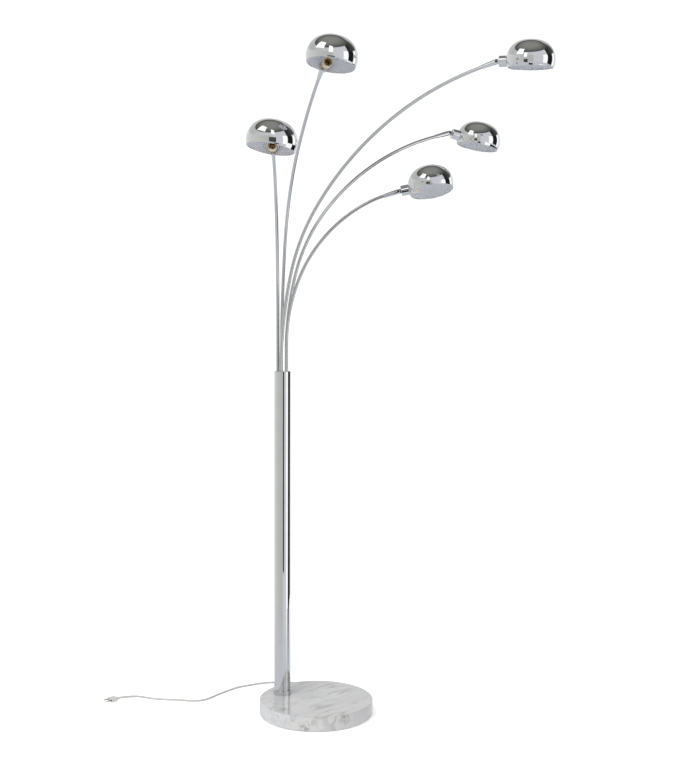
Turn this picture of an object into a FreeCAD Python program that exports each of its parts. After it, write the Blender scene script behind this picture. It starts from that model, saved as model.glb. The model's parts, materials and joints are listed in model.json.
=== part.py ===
"""Arc floor lamp: five curved arms on one column, five dome shades.

Frame: origin at the centre of the foot's underside, +Z up, +X from the
column towards the middle of the foot. Units are millimetres and degrees.
"""
import FreeCAD, Part
import Sketcher
import math
import os
from FreeCAD import Placement, Rotation, Vector

doc = FreeCAD.newDocument("ArcFloorLamp")

# ---------------------------------------------------------------- dimensions
DIMENSIONS = [
    # foot
    ("base_dia", 350, "marble disc"),
    ("base_thick", 44, "marble disc, without the felt"),
    ("base_round", 2.5, "rounding of the disc's edges"),
    ("felt_dia", 338, "felt under the disc"),
    ("felt_thick", 3, "felt under the disc"),
    ("recess_dia", 64, "recess for the bolt head, from below"),
    ("recess_depth", 14, "recess for the bolt head, from below"),
    ("channel_width", 11.2, "cord channel under the disc, square section"),
    ("channel_angle", 100, "direction of the cord channel from the column"),
    # column
    ("column_offset", 114.4, "column axis behind the middle of the foot"),
    ("column_dia", 50.8, "outside of the tube"),
    ("column_wall", 1.5, "tube wall"),
    ("column_height", 1013, "foot's top to the cap's top"),
    ("collar_dia", 54.4, "ring round the tube's foot"),
    ("collar_height", 16, "ring round the tube's foot"),
    ("plug_height", 28, "threaded plug in the tube's foot"),
    ("insert_gap", 0.1, "radial gap of what sits inside the tube"),
    ("lip_thick", 1.5, "cap's lip on the tube's end"),
    ("cap_depth", 20, "cap, lip included"),
    ("arm_depth", 150, "how far an arm reaches down into the column"),
    ("seat_thick", 16, "lower bearing disc"),
    ("pocket_depth", 8, "blind holes in the lower bearing disc"),
    ("hole_circle", 14.5, "radius of the ring of five arm holes"),
    ("hole_phase", -14.35, "direction of the first arm hole"),
    # fastening and wiring in the foot
    ("bolt_dia", 10, "M10 bolt from below"),
    ("bolt_head_dia", 17, "across corners"),
    ("bolt_head", 6.4, "height"),
    ("washer_dia", 23, "under the bolt head"),
    ("washer_thick", 2.5, "under the bolt head"),
    ("lead_offset", 16, "mains lead beside the column's axis"),
    ("lead_bend", 12, "radius of the lead's turn into the channel"),
    ("lead_level", 8.6, "height of the lead in the channel"),
    ("terminal_level", 110, "underside of the terminal block"),
    ("terminal_height", 34, "terminal block"),
    # arms
    ("arm_dia", 10, "tube outside"),
    ("arm_wall", 1, "tube wall"),
    ("running_gap", 0.05, "radial gap of a running fit"),
    ("arm_end", 50, "straight end of each arm"),
    # knuckle, measured from the tilt axis along the neck
    ("ferrule_length", 46, "back from the tilt axis"),
    ("ferrule_back", 5.8, "radius at the arm's side"),
    ("fork_radius", 7.6, "rounded end round the tilt axis"),
    ("fork_slot", 5.2, "slot width"),
    ("fork_depth", 9.5, "slot depth behind the tilt axis"),
    ("tube_stop", 16, "arm's end behind the tilt axis"),
    ("tongue_thick", 4.9, "tongue in the slot"),
    ("tongue_radius", 6.6, "tongue round the tilt axis"),
    ("screw_dia", 4, "tilt screw"),
    ("screw_head_dia", 6, "tilt screw"),
    ("screw_sink_dia", 6.6, "sink for the screw's head"),
    ("screw_sink", 5.1, "floor of the sink from the arm's middle plane"),
    ("neck_start", 8.6, "back of the neck's end cap"),
    ("cap_plate", 4, "neck's end cap"),
    ("neck_dia", 31.8, "neck tube outside"),
    ("neck_wall", 1.5, "neck tube wall"),
    ("neck_end", 38, "front end of the neck tube"),
    ("spigot_length", 7.4, "end cap's spigot inside the neck"),
    # shade, measured from the neck's axis
    ("shade_reach", 98, "tilt axis to the shade's axis"),
    ("shade_radius", 69, "widest"),
    ("shade_widest", 2, "level of the widest ring"),
    ("shade_crown", 58, "level of the top"),
    ("shade_rim", -20, "level of the rim"),
    ("shade_rim_radius", 65, "outside of the rim"),
    ("shade_shoulder", 54, "radius of the shoulder arc"),
    ("shade_wall", 1, "spun steel"),
    ("shade_hole_dia", 32, "for the neck"),
    # lamp holder
    ("holder_back", 22, "from the tilt axis"),
    ("holder_front", 60, "from the tilt axis"),
    ("holder_radius", 13.8, "skirt"),
    ("holder_bore", 8.55, "bore for the thread shell"),
    ("shell_back", 37, "thread shell from the tilt axis"),
    ("shell_front", 57.5, "thread shell from the tilt axis"),
    ("shell_radius", 8.5, "thread shell outside"),
    ("thread_radius", 7, "E14 thread"),
    # cord
    ("cord_dia", 6, "mains cord"),
    ("grommet_in", 100, "strain relief's inner end from the column's axis"),
    ("grommet_out", 128, "strain relief's tip from the column's axis"),
    ("grommet_radius", 5.3, "strain relief in the channel"),
    ("grommet_tip", 3.9, "strain relief's tip radius"),
    ("coil_radius", 31, "middle of the stored turns"),
    ("coil_width", 18, "three turns side by side"),
    ("coil_height", 12, "two turns high"),
    ("plug_relief", 12, "plug's tapered tail"),
    ("plug_length", 24, "plug's body"),
    ("plug_width", 26, "plug's body"),
    ("plug_thick", 14, "plug's body"),
    ("pin_dia", 4, "plug pins"),
    ("pin_length", 19, "plug pins"),
    ("pin_pitch", 19, "between the pins"),
]
# Each arm: hole on the cap's ring, direction, straight rise above the cap,
# three bends (radius, turn), then how its shade is held: the neck's angle
# above level and its roll, negative when the opening faces the viewer.
ARMS = {
    1: dict(hole=4, azimuth=-1.65, rise=5, bends=((1300, 13), (625, 19), (935, 40.2)), neck=0, roll=-1),
    2: dict(hole=2, azimuth=-52.7, rise=5, bends=((1560, 13.7), (566, 32), (1340, 13.3)), neck=10, roll=-11.4),
    3: dict(hole=1, azimuth=38.15, rise=76, bends=((870, 14.6), (522, 25.5), (660, 35)), neck=-12.8, roll=-4),
    4: dict(hole=3, azimuth=-67.3, rise=121, bends=((518, 35), (546, 20), (598, 15.9)), neck=11.4, roll=-9.4),
    5: dict(hole=0, azimuth=18.25, rise=78, bends=((555, 20), (443, 42.5), (265, 9.8)), neck=11.5, roll=-17.8),
}
for number, arm in ARMS.items():
    name = "arm_%d_" % number
    DIMENSIONS += [(name + key, arm[key], "arm %d" % number) for key in ("hole", "azimuth", "rise", "neck", "roll")]
    for step, (radius, turn) in zip("abc", arm["bends"]):
        DIMENSIONS += [(name + "radius_" + step, radius, "bend radius"), (name + "turn_" + step, turn, "bend angle")]

sheet = doc.addObject("Spreadsheet::Sheet", "Dims")
for row, (alias, value, note) in enumerate(DIMENSIONS, start=1):
    sheet.set("A%d" % row, alias)
    sheet.set("B%d" % row, str(value))
    sheet.set("C%d" % row, note)
    sheet.setAlias("B%d" % row, alias)
doc.recompute()


def dim(alias):
    return float(sheet.get(alias))


def value(expression):
    result = sheet.evalExpression(expression)
    return float(getattr(result, "Value", result))


# ------------------------------------------------------------------- helpers
nodes = {}


def keep(node, obj, placement=None):
    """Name a finished piece, place it and list it for export."""
    obj.Label = node
    if placement is not None:
        obj.Placement = placement
    nodes[node] = obj
    return obj


def new_body(name):
    return doc.addObject("PartDesign::Body", name)


def new_sketch(body, plane, name, offset=0):
    sketch = body.newObject("Sketcher::SketchObject", name)
    origin = [f for f in body.Origin.OriginFeatures if f.Role == plane][0]
    sketch.AttachmentSupport = [(origin, "")]
    sketch.MapMode = "FlatFace"
    sketch.AttachmentOffset = Placement(Vector(0, 0, offset), Rotation())
    return sketch


def pin_point(sketch, geometry, end, x, y):
    """Hold a sketch point at two expressions of the sheet."""
    for axis, expression in (("X", x), ("Y", y)):
        if value(expression) == 0:
            line = -2 if axis == "X" else -1
            sketch.addConstraint(Sketcher.Constraint("PointOnObject", geometry, end, line))
            continue
        index = sketch.addConstraint(Sketcher.Constraint(
            "Distance" + axis, -1, 1, geometry, end, value(expression)))
        sketch.setExpression("Constraints[%d]" % index, expression)


def polygon(sketch, points):
    """Closed outline of straight runs, each corner bound to the sheet."""
    corners = [Vector(value(x), value(y), 0) for x, y in points]
    count = len(corners)
    for i in range(count):
        sketch.addGeometry(Part.LineSegment(corners[i], corners[(i + 1) % count]), False)
    for i in range(count):
        sketch.addConstraint(Sketcher.Constraint("Coincident", i, 2, (i + 1) % count, 1))
    for i, (x, y) in enumerate(points):
        pin_point(sketch, i, 1, x, y)


def circles(sketch, rings):
    """Circles given as (x, y, radius) expressions."""
    for x, y, radius in rings:
        centre = Vector(value(x), value(y), 0)
        index = sketch.addGeometry(Part.Circle(centre, Vector(0, 0, 1), value(radius)), False)
        pin_point(sketch, index, 3, x, y)
        row = sketch.addConstraint(Sketcher.Constraint("Radius", index, value(radius)))
        sketch.setExpression("Constraints[%d]" % row, radius)


def revolve(body, sketch, axis):
    turned = body.newObject("PartDesign::Revolution", sketch.Name + "_turned")
    turned.Profile = sketch
    turned.ReferenceAxis = (sketch, [axis])
    turned.Angle = 360
    sketch.Visibility = False
    doc.recompute()
    return turned


def pad(body, sketch, length, midplane=False):
    grown = body.newObject("PartDesign::Pad", sketch.Name + "_pad")
    grown.Profile = sketch
    grown.setExpression("Length", length)
    grown.Midplane = midplane
    doc.recompute()
    return grown


def pocket(body, sketch, length=None, midplane=False, reverse=False):
    """Cut a sketch out of its body, and make sure that it removed something."""
    before = body.Shape.Volume
    cut = body.newObject("PartDesign::Pocket", sketch.Name + "_cut")
    cut.Profile = sketch
    if length is None:
        cut.Type = "ThroughAll"
    else:
        cut.setExpression("Length", length)
    cut.Midplane = midplane
    cut.Reversed = reverse
    doc.recompute()
    if body.Shape.Volume > before - 0.5:
        raise RuntimeError("%s cuts nothing" % sketch.Name)
    return cut


def turned_piece(name, plane, axis, points):
    body = new_body(name)
    sketch = new_sketch(body, plane, name + "_outline")
    polygon(sketch, points)
    revolve(body, sketch, axis)
    return body


def cylinder(name, radius, height, x="0", y="0", z="0"):
    piece = doc.addObject("Part::Cylinder", name)
    piece.setExpression("Radius", radius)
    piece.setExpression("Height", height)
    for axis, expression in zip("xyz", (x, y, z)):
        piece.setExpression("Placement.Base." + axis, expression)
    return piece


def cut(name, base, tools):
    tool = tools[0]
    if len(tools) > 1:
        tool = doc.addObject("Part::MultiFuse", name + "_tools")
        tool.Shapes = tools
    result = doc.addObject("Part::Cut", name)
    result.Base = base
    result.Tool = tool
    return result


FLOOR_TO_TOP = "(Dims.felt_thick + Dims.base_thick)"
COLUMN_TOP = "(Dims.felt_thick + Dims.base_thick + Dims.column_height)"
INSIDE = "(Dims.column_dia / 2 - Dims.column_wall - Dims.insert_gap)"
column_x = -dim("column_offset")
column_place = Placement(Vector(column_x, 0, 0), Rotation())
channel_turn = Rotation(Vector(0, 0, 1), dim("channel_angle"))
channel_place = Placement(Vector(column_x, 0, 0), channel_turn)

# ---------------------------------------------------------------------- foot
felt = new_body("felt")
sketch = new_sketch(felt, "XY_Plane", "felt_ring")
circles(sketch, [("0", "0", "Dims.felt_dia / 2")])
pad(felt, sketch, "Dims.felt_thick")
keep("base_felt", felt)

disc = new_body("disc")
sketch = new_sketch(disc, "XY_Plane", "disc_ring", dim("felt_thick"))
circles(sketch, [("0", "0", "Dims.base_dia / 2")])
disc_pad = pad(disc, sketch, "Dims.base_thick")
rims = ["Edge%d" % (i + 1) for i, edge in enumerate(disc_pad.Shape.Edges) if len(edge.Vertexes) == 1]
rounding = disc.newObject("PartDesign::Fillet", "disc_round")
rounding.Base = (disc_pad, rims)
rounding.setExpression("Radius", "Dims.base_round")
doc.recompute()

recess = cylinder("recess", "Dims.recess_dia / 2", "Dims.recess_depth", "-Dims.column_offset", "0", "Dims.felt_thick")
bolt_hole = cylinder("bolt_hole", "Dims.bolt_dia / 2 + 0.5", "Dims.base_thick + 2",
                     "-Dims.column_offset", "0", "Dims.felt_thick")
lead_hole = cylinder(
    "lead_hole", "Dims.cord_dia / 2 + 2", "Dims.base_thick + 2",
    "-Dims.column_offset + Dims.lead_offset * cos(Dims.channel_angle)",
    "Dims.lead_offset * sin(Dims.channel_angle)", "Dims.felt_thick")
channel = doc.addObject("Part::Box", "channel")
channel.setExpression("Length", "Dims.base_dia / 2")
channel.setExpression("Width", "Dims.channel_width")
channel.setExpression("Height", "Dims.channel_width")
channel.Placement = channel_place.multiply(Placement(Vector(0, -dim("channel_width") / 2, dim("felt_thick")), Rotation()))
keep("base_marble", cut("marble", disc, [recess, bolt_hole, lead_hole, channel]))

# -------------------------------------------------------------------- column
tube = new_body("tube")
sketch = new_sketch(tube, "XY_Plane", "tube_rings", value(FLOOR_TO_TOP))
circles(sketch, [("0", "0", "Dims.column_dia / 2"), ("0", "0", "Dims.column_dia / 2 - Dims.column_wall")])
pad(tube, sketch, "Dims.column_height - Dims.lip_thick")
keep("column_tube", tube, column_place)

collar = turned_piece("collar", "XZ_Plane", "V_Axis", [
    ("Dims.column_dia / 2 + Dims.insert_gap", FLOOR_TO_TOP),
    ("Dims.collar_dia / 2", FLOOR_TO_TOP),
    ("Dims.collar_dia / 2", FLOOR_TO_TOP + " + Dims.collar_height - 0.8"),
    ("Dims.collar_dia / 2 - 0.8", FLOOR_TO_TOP + " + Dims.collar_height"),
    ("Dims.column_dia / 2 + Dims.insert_gap", FLOOR_TO_TOP + " + Dims.collar_height")])
keep("column_collar", collar, column_place)

plug = new_body("plug")
sketch = new_sketch(plug, "XY_Plane", "plug_rings", value(FLOOR_TO_TOP))
circles(sketch, [("0", "0", INSIDE), ("0", "0", "Dims.bolt_dia / 2 + Dims.running_gap"),
                 ("Dims.lead_offset * cos(Dims.channel_angle)", "Dims.lead_offset * sin(Dims.channel_angle)",
                  "Dims.cord_dia / 2 + 1.5")])
pad(plug, sketch, "Dims.plug_height")
keep("column_plug", plug, column_place)

# Both bearing discs have five holes on one ring, one for each arm.
HOLE_X = "Dims.hole_circle * cos(Dims.hole_phase)"
HOLE_Y = "Dims.hole_circle * sin(Dims.hole_phase)"


def ring_of_holes(body, sketch_name, level, radius, depth):
    sketch = new_sketch(body, "XY_Plane", sketch_name, level)
    circles(sketch, [(HOLE_X, HOLE_Y, radius)])
    hole = pocket(body, sketch, depth)
    pattern = body.newObject("PartDesign::PolarPattern", sketch_name + "_ring")
    pattern.Originals = [hole]
    axis = [f for f in body.Origin.OriginFeatures if f.Role == "Z_Axis"][0]
    pattern.Axis = (axis, [""])
    pattern.Angle = 360
    pattern.Occurrences = len(ARMS)
    body.Tip = pattern
    doc.recompute()
    return pattern


cap = turned_piece("cap", "XZ_Plane", "V_Axis", [
    ("0", COLUMN_TOP + " - Dims.cap_depth"),
    (INSIDE, COLUMN_TOP + " - Dims.cap_depth"),
    (INSIDE, COLUMN_TOP + " - Dims.lip_thick"),
    ("Dims.column_dia / 2", COLUMN_TOP + " - Dims.lip_thick"),
    ("Dims.column_dia / 2", COLUMN_TOP + " - 0.5"),
    ("Dims.column_dia / 2 - 0.5", COLUMN_TOP),
    ("0", COLUMN_TOP)])
ring_of_holes(cap, "cap_holes", value(COLUMN_TOP), "Dims.arm_dia / 2 + Dims.running_gap", None)
keep("column_cap", cap, column_place)

seat = new_body("seat")
SEAT_TOP = COLUMN_TOP + " - Dims.arm_depth + Dims.pocket_depth"
seat_top = value(SEAT_TOP)
sketch = new_sketch(seat, "XY_Plane", "seat_ring", seat_top - dim("seat_thick"))
circles(sketch, [("0", "0", INSIDE)])
pad(seat, sketch, "Dims.seat_thick")
ring_of_holes(seat, "seat_pockets", seat_top, "Dims.arm_dia / 2 + Dims.running_gap", "Dims.pocket_depth + 0.2")
ring_of_holes(seat, "seat_wires", seat_top, "Dims.arm_dia / 2 - 1.6", None)
keep("column_seat", seat, column_place)

# ------------------------------------------------- bolt, washer and terminal
BOLT_SEAT = "(Dims.felt_thick + Dims.recess_depth - Dims.washer_thick)"
washer = cut("washer", cylinder("washer_disc", "Dims.washer_dia / 2", "Dims.washer_thick",
                                "-Dims.column_offset", "0", BOLT_SEAT),
             [cylinder("washer_hole", "Dims.bolt_dia / 2 + 0.2", "Dims.washer_thick + 2",
                       "-Dims.column_offset", "0", BOLT_SEAT + " - 1")])
keep("base_washer", washer)

bolt_head = doc.addObject("Part::Prism", "bolt_head")
bolt_head.Polygon = 6
bolt_head.setExpression("Circumradius", "Dims.bolt_head_dia / 2")
bolt_head.setExpression("Height", "Dims.bolt_head")
bolt_head.Placement = Placement(Vector(column_x, 0, value(BOLT_SEAT) - dim("bolt_head")), Rotation())
shank = cylinder("bolt_shank", "Dims.bolt_dia / 2",
                 FLOOR_TO_TOP + " + Dims.plug_height - 4 - " + BOLT_SEAT + " + 1",
                 "-Dims.column_offset", "0", BOLT_SEAT + " - 1")
bolt = doc.addObject("Part::Fuse", "bolt")
bolt.Base = bolt_head
bolt.Tool = shank
keep("base_bolt", bolt)

block = new_body("block")
sketch = new_sketch(block, "XY_Plane", "block_outline", dim("terminal_level"))
polygon(sketch, [("Dims.lead_offset - 7.5", "-9"), ("Dims.lead_offset + 4.5", "-9"),
                 ("Dims.lead_offset + 4.5", "9"), ("Dims.lead_offset - 7.5", "9")])
pad(block, sketch, "Dims.terminal_height")
sketch = new_sketch(block, "XZ_Plane", "block_screws")
circles(sketch, [("Dims.lead_offset - 4", "Dims.terminal_level + %d" % up, "2") for up in (7, 17, 27)])
pocket(block, sketch, None, midplane=True)
keep("terminal_block", block, channel_place)


def tube_along(path, radius):
    """Round tube along a wire of straight runs and tangent arcs."""
    start = path.OrderedVertexes[0].Point
    heading = path.OrderedEdges[0].tangentAt(path.OrderedEdges[0].FirstParameter)
    profile = Part.Wire([Part.makeCircle(radius, start, heading)])
    solid = path.makePipeShell([profile], True, False)
    expected = math.pi * radius ** 2 * path.Length
    if abs(solid.Volume - expected) > 0.01 * expected:
        raise RuntimeError("tube volume %.0f, expected %.0f" % (solid.Volume, expected))
    return solid


def rounded_path(points):
    """Straight runs joined by tangent arcs, each as large as its runs allow."""
    edges, radii = [], []
    start = points[0]
    for before, corner, after in zip(points, points[1:], points[2:]):
        back, ahead = before - corner, after - corner
        run = min(back.Length, ahead.Length)
        half_turn = (math.pi - back.getAngle(ahead)) / 2
        reach = 0.45 * run
        radius = reach / math.tan(half_turn)
        back.normalize()
        ahead.normalize()
        enter, leave = corner + back * reach, corner + ahead * reach
        bisector = (back + ahead).normalize()
        centre = corner + bisector * (radius / math.cos(half_turn))
        middle = centre - bisector * radius
        edges.append(Part.LineSegment(start, enter).toShape())
        edges.append(Part.Arc(enter, middle, leave).toShape())
        radii.append(radius)
        start = leave
    edges.append(Part.LineSegment(start, points[-1]).toShape())
    return Part.Wire(edges), radii


def shape_node(node, shape):
    feature = doc.addObject("Part::Feature", node)
    feature.Shape = shape
    return keep(node, feature)


# Inner part of the mains lead: down beside the bolt, then out along the channel.
def along_channel(distance, level):
    return channel_place.multVec(Vector(distance, 0, level))


offset, bend, level = dim("lead_offset"), dim("lead_bend"), dim("lead_level")
bend_middle = Vector(offset + bend * (1 - math.cos(math.pi / 4)), 0, level + bend * (1 - math.sin(math.pi / 4)))
lead_path = Part.Wire([
    Part.LineSegment(along_channel(offset, dim("terminal_level")), along_channel(offset, level + bend)).toShape(),
    Part.Arc(along_channel(offset, level + bend), channel_place.multVec(bend_middle),
             along_channel(offset + bend, level)).toShape(),
    Part.LineSegment(along_channel(offset + bend, level), along_channel(dim("grommet_in"), level)).toShape()])
shape_node("mains_lead", tube_along(lead_path, dim("cord_dia") / 2))

grommet = turned_piece("grommet", "XZ_Plane", "H_Axis", [
    ("Dims.grommet_in", "0"), ("Dims.grommet_in", "Dims.grommet_radius"),
    ("Dims.grommet_in + 15", "Dims.grommet_radius"), ("Dims.grommet_out", "Dims.grommet_tip"),
    ("Dims.grommet_out", "0")])
keep("cord_grommet", grommet, channel_place.multiply(Placement(Vector(0, 0, level), Rotation())))

# ------------------------------------------------------- arms and their heads
for number, arm in ARMS.items():
    prefix = "arm_%d_" % number
    azimuth = dim(prefix + "azimuth")
    hole_angle = math.radians(dim("hole_phase") + 360 / len(ARMS) * dim(prefix + "hole"))
    root = Vector(column_x + dim("hole_circle") * math.cos(hole_angle),
                  dim("hole_circle") * math.sin(hole_angle), value(COLUMN_TOP))

    # The arm's line, in its own upright plane: rise, three bends, straight end.
    body = new_body(prefix + "body")
    line = new_sketch(body, "XZ_Plane", prefix + "line")
    point, heading = Vector(0, -dim("arm_depth") + 0.2, 0), math.radians(90)
    top = Vector(0, dim(prefix + "rise"), 0)
    line.addGeometry(Part.LineSegment(point, top), False)
    point = top
    for step in "abc":
        radius, turn = dim(prefix + "radius_" + step), math.radians(dim(prefix + "turn_" + step))
        centre = point + Vector(math.sin(heading), -math.cos(heading), 0) * radius
        circle = Part.Circle(centre, Vector(0, 0, 1), radius)
        line.addGeometry(Part.ArcOfCircle(circle, heading - turn + math.pi / 2, heading + math.pi / 2), False)
        heading -= turn
        point = centre + Vector(-math.sin(heading), math.cos(heading), 0) * radius
    straight = dim("arm_end") - dim("tube_stop")
    line.addGeometry(Part.LineSegment(
        point, point + Vector(math.cos(heading), math.sin(heading), 0) * straight), False)
    pin_point(line, 0, 1, "0", "0.2 - Dims.arm_depth")
    pin_point(line, 0, 2, "0", "Dims.%srise" % prefix)
    joints_in_line = [(0, 2, 1, 2), (1, 1, 2, 2), (2, 1, 3, 2), (3, 1, 4, 1)]
    for first, first_end, second, second_end in joints_in_line:
        line.addConstraint(Sketcher.Constraint("Tangent", first, first_end, second, second_end))
    for index, step in enumerate("abc", start=1):
        row = line.addConstraint(Sketcher.Constraint("Radius", index, dim(prefix + "radius_" + step)))
        line.setExpression("Constraints[%d]" % row, "Dims.%sradius_%s" % (prefix, step))
        row = line.addConstraint(Sketcher.Constraint("Angle", index, math.radians(dim(prefix + "turn_" + step))))
        line.setExpression("Constraints[%d]" % row, "Dims.%sturn_%s * 1 deg" % (prefix, step))
    row = line.addConstraint(Sketcher.Constraint("Distance", 4, straight))
    line.setExpression("Constraints[%d]" % row, "Dims.arm_end - Dims.tube_stop")
    rings = new_sketch(body, "XY_Plane", prefix + "section", 0.2 - dim("arm_depth"))
    circles(rings, [("0", "0", "Dims.arm_dia / 2"), ("0", "0", "Dims.arm_dia / 2 - Dims.arm_wall")])
    doc.recompute()
    pipe = body.newObject("PartDesign::AdditivePipe", prefix + "pipe")
    pipe.Profile = rings
    pipe.Spine = (line, ["Edge%d" % (i + 1) for i in range(5)])
    doc.recompute()
    keep(prefix + "tube", body, Placement(root, Rotation(Vector(0, 0, 1), azimuth)))

    # The tilt axis sits where the straight end would reach its full length.
    pivot_in_plane = point + Vector(math.cos(heading), math.sin(heading), 0) * dim("arm_end")
    swing = Rotation(Vector(0, 0, 1), azimuth)
    pivot = root + swing.multVec(Vector(pivot_in_plane.x, 0, pivot_in_plane.y))
    fork_place = Placement(pivot, swing.multiply(Rotation(Vector(0, 1, 0), -math.degrees(heading))))
    neck_turn = swing.multiply(Rotation(Vector(0, 1, 0), -dim(prefix + "neck")))
    head_place = Placement(pivot, neck_turn.multiply(Rotation(Vector(1, 0, 0), dim(prefix + "roll"))))
    knuckle_place = Placement(pivot, neck_turn)
    print("pivot %d: %.2f %.2f %.2f, arm slope %.2f" % (number, *pivot, math.degrees(heading)))

    # Ferrule: cone, then a ball-ended fork for the tongue.
    body = new_body(prefix + "ferrule_body")
    outline = new_sketch(body, "XZ_Plane", prefix + "ferrule_outline")
    corners = [("-Dims.ferrule_length", "Dims.arm_dia / 2"), ("-Dims.ferrule_length", "Dims.ferrule_back"),
               ("-Dims.fork_radius * 1.6", "Dims.fork_radius"), ("0", "Dims.fork_radius"),
               ("Dims.fork_radius", "0"), ("-Dims.fork_depth", "0"), ("-Dims.fork_depth", "2.5"),
               ("-Dims.tube_stop", "2.5"), ("-Dims.tube_stop", "Dims.arm_dia / 2")]
    spots = [Vector(value(x), value(y), 0) for x, y in corners]
    for i in range(len(spots)):
        if i == 3:
            ball = Part.Circle(Vector(), Vector(0, 0, 1), dim("fork_radius"))
            outline.addGeometry(Part.ArcOfCircle(ball, 0, math.pi / 2), False)
        else:
            outline.addGeometry(Part.LineSegment(spots[i], spots[(i + 1) % len(spots)]), False)
    outline.addConstraint(Sketcher.Constraint("Coincident", 3, 3, -1, 1))
    for i in range(len(spots)):
        first_end, second_end = (1 if i == 3 else 2), (2 if (i + 1) % len(spots) == 3 else 1)
        outline.addConstraint(Sketcher.Constraint("Coincident", i, first_end, (i + 1) % len(spots), second_end))
    for i, (x, y) in enumerate(corners):
        if i == 4:
            outline.addConstraint(Sketcher.Constraint("PointOnObject", 4, 1, -1))
        else:
            pin_point(outline, i, 2 if i == 3 else 1, x, y)
    revolve(body, outline, "H_Axis")
    slot = new_sketch(body, "XY_Plane", prefix + "slot")
    polygon(slot, [("-Dims.fork_depth", "-Dims.fork_slot / 2"), ("Dims.fork_radius + 1", "-Dims.fork_slot / 2"),
                   ("Dims.fork_radius + 1", "Dims.fork_slot / 2"), ("-Dims.fork_depth", "Dims.fork_slot / 2")])
    pocket(body, slot, None, midplane=True)
    bore = new_sketch(body, "XZ_Plane", prefix + "fork_bore")
    circles(bore, [("0", "0", "Dims.screw_dia / 2 + Dims.running_gap")])
    pocket(body, bore, None, midplane=True)
    sink = new_sketch(body, "XZ_Plane", prefix + "sink", dim("screw_sink"))
    circles(sink, [("0", "0", "Dims.screw_sink_dia / 2")])
    pocket(body, sink, "10", reverse=True)
    keep(prefix + "ferrule", body, fork_place)

    # Tilt screw, head towards the viewer's side.
    screw = turned_piece(prefix + "screw_body", "XY_Plane", "V_Axis", [
        ("0", "-Dims.screw_sink - 2.1"), ("Dims.screw_head_dia / 2", "-Dims.screw_sink - 2.1"),
        ("Dims.screw_head_dia / 2", "-Dims.screw_sink - 0.1"), ("Dims.screw_dia / 2", "-Dims.screw_sink - 0.1"),
        ("Dims.screw_dia / 2", "Dims.fork_radius - 0.8"), ("0", "Dims.fork_radius - 0.8")])
    key = new_sketch(screw, "XZ_Plane", prefix + "key", dim("screw_sink") + 2.1)
    across = 1.5
    hexagon = [("%.4f" % (across * math.cos(math.radians(60 * k))),
                "%.4f" % (across * math.sin(math.radians(60 * k))) if k % 3 else "0") for k in range(6)]
    polygon(key, hexagon)
    pocket(screw, key, "1.4")
    keep(prefix + "screw", screw, fork_place)

    # Knuckle: tongue, end cap and spigot for the neck tube.
    head = "head_%d_" % number
    body = new_body(head + "knuckle_body")
    tongue = new_sketch(body, "XZ_Plane", head + "tongue")
    reach, half = value("Dims.neck_start + 1"), dim("tongue_radius")
    tongue.addGeometry(Part.ArcOfCircle(Part.Circle(Vector(), Vector(0, 0, 1), half),
                                        math.pi / 2, 3 * math.pi / 2), False)
    tongue.addGeometry(Part.LineSegment(Vector(0, -half, 0), Vector(reach, -half, 0)), False)
    tongue.addGeometry(Part.LineSegment(Vector(reach, -half, 0), Vector(reach, half, 0)), False)
    tongue.addGeometry(Part.LineSegment(Vector(reach, half, 0), Vector(0, half, 0)), False)
    tongue.addConstraint(Sketcher.Constraint("Coincident", 0, 3, -1, 1))
    for first, first_end, second, second_end in ((0, 2, 1, 1), (1, 2, 2, 1), (2, 2, 3, 1), (3, 2, 0, 1)):
        tongue.addConstraint(Sketcher.Constraint("Coincident", first, first_end, second, second_end))
    pin_point(tongue, 1, 1, "0", "-Dims.tongue_radius")
    pin_point(tongue, 2, 1, "Dims.neck_start + 1", "-Dims.tongue_radius")
    pin_point(tongue, 3, 1, "Dims.neck_start + 1", "Dims.tongue_radius")
    tongue.addConstraint(Sketcher.Constraint("PointOnObject", 3, 2, -2))
    pad(body, tongue, "Dims.tongue_thick", midplane=True)
    plate = new_sketch(body, "XZ_Plane", head + "plate")
    CAP_FRONT = "(Dims.neck_start + Dims.cap_plate)"
    SPIGOT = "(Dims.neck_dia / 2 - Dims.neck_wall - Dims.running_gap)"
    polygon(plate, [("Dims.neck_start", "0"), ("Dims.neck_start", "Dims.neck_dia / 2 - 0.6"),
                    ("Dims.neck_start + 0.6", "Dims.neck_dia / 2"), (CAP_FRONT, "Dims.neck_dia / 2"),
                    (CAP_FRONT, SPIGOT), (CAP_FRONT + " + Dims.spigot_length", SPIGOT),
                    (CAP_FRONT + " + Dims.spigot_length", SPIGOT + " - 3"), (CAP_FRONT, SPIGOT + " - 3"),
                    (CAP_FRONT, "0")])
    revolve(body, plate, "H_Axis")
    bore = new_sketch(body, "XZ_Plane", head + "tongue_bore")
    circles(bore, [("0", "0", "Dims.screw_dia / 2 + Dims.running_gap")])
    pocket(body, bore, None, midplane=True)
    wire = new_sketch(body, "YZ_Plane", head + "wire_hole")
    circles(wire, [("0", "Dims.tongue_radius + 3.2", "2.5")])
    pocket(body, wire, "20", reverse=True)
    keep(head + "knuckle", body, knuckle_place)

    neck = turned_piece(head + "neck_body", "XZ_Plane", "H_Axis", [
        (CAP_FRONT + " + 0.1", "Dims.neck_dia / 2 - Dims.neck_wall"), (CAP_FRONT + " + 0.1", "Dims.neck_dia / 2"),
        ("Dims.neck_end", "Dims.neck_dia / 2"), ("Dims.neck_end", "Dims.neck_dia / 2 - Dims.neck_wall")])
    keep(head + "neck", neck, head_place)

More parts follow.
